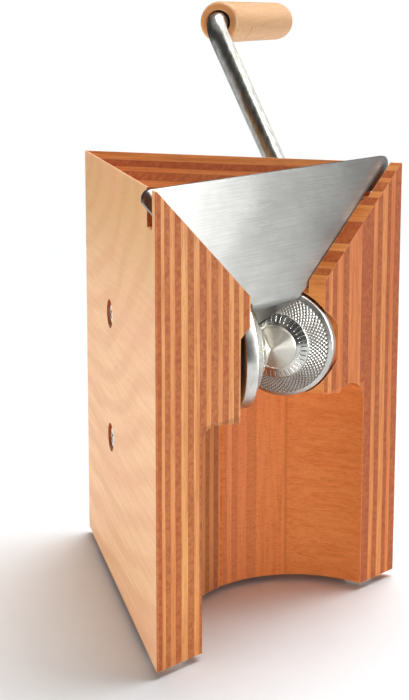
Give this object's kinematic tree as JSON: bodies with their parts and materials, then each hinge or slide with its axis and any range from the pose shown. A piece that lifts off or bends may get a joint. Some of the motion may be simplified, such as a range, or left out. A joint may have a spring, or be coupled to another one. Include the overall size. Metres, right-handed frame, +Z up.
{
  "type": "hand crank grain flaker",
  "caption": "Upright triangular laminated wood body with an open hopper, two knurled cone rollers behind a folded steel plate, a bowl recess below and a bent rod crank with a wooden grip.",
  "frame": {"origin": "centre of the bounding box in plan, on the plane of the three feet", "axes": "+Z up, -Y is the open front with the bowl recess and the rollers, +X is the crank side"},
  "size_m": [0.2424, 0.1826, 0.2592],
  "materials": {
    "ply_left": "laminated hardwood, oiled",
    "ply_right": "laminated hardwood, oiled",
    "screw_steel": "bright plated",
    "brushed_plate": "brushed across",
    "roller_steel": "turned, knurled belt",
    "rod_steel": "satin",
    "washer_steel": "satin",
    "collar_steel": "satin",
    "dark_screw": "blackened steel",
    "bronze": "sintered, matt",
    "beech": "turned beech, oiled",
    "clear_rubber": "translucent, soft"
  },
  "bodies": {
    "root": {"left_board": "ply_left", "right_board": "ply_right", "corner_screws": "screw_steel", "drive_bush_inner": "bronze", "drive_bush_outer": "bronze", "idler_housing": "collar_steel", "idler_housing_screws": "dark_screw", "idler_bushes": "bronze", "foot_left": "clear_rubber", "foot_right": "clear_rubber", "foot_rear": "clear_rubber"},
    "crank": {"crank_rod": "rod_steel", "drive_roller": "roller_steel", "drive_thrust_washer": "washer_steel", "collar_washer": "washer_steel", "shaft_collar": "collar_steel", "collar_grub_screw": "dark_screw", "grip_retaining_clip": "dark_screw"},
    "grip": {"crank_grip": "beech", "grip_sleeve": "washer_steel"},
    "idler": {"idler_roller": "roller_steel", "idler_shaft": "rod_steel", "idler_thrust_washer": "washer_steel", "idler_end_washer": "washer_steel", "idler_retaining_clip": "dark_screw"},
    "plate": {"hopper_plate": "brushed_plate"}
  },
  "joints": [
    {"name": "crank_turn", "type": "hinge", "parent": "root", "child": "crank", "pos_m": [0.00122, -0.04984, 0.116], "axis": [-0.8836, -0.4682, 0], "continuous": true},
    {"name": "grip_spin", "type": "hinge", "parent": "crank", "child": "grip", "pos_m": [0.07201, 0.06006, 0.24891], "axis": [0.8836, 0.4682, 0], "continuous": true},
    {"name": "idler_turn", "type": "hinge", "parent": "root", "child": "idler", "pos_m": [-0.10178, -0.04984, 0.116], "axis": [0.8836, -0.4682, 0], "continuous": true},
    {"name": "plate_lift", "type": "slide", "parent": "root", "child": "plate", "axis": [0, 0, 1], "range_m": [0, 0.08]}
  ],
  "couplings": [
    {"joint": "idler_turn", "follows": "crank_turn", "ratio": -1}
  ]
}
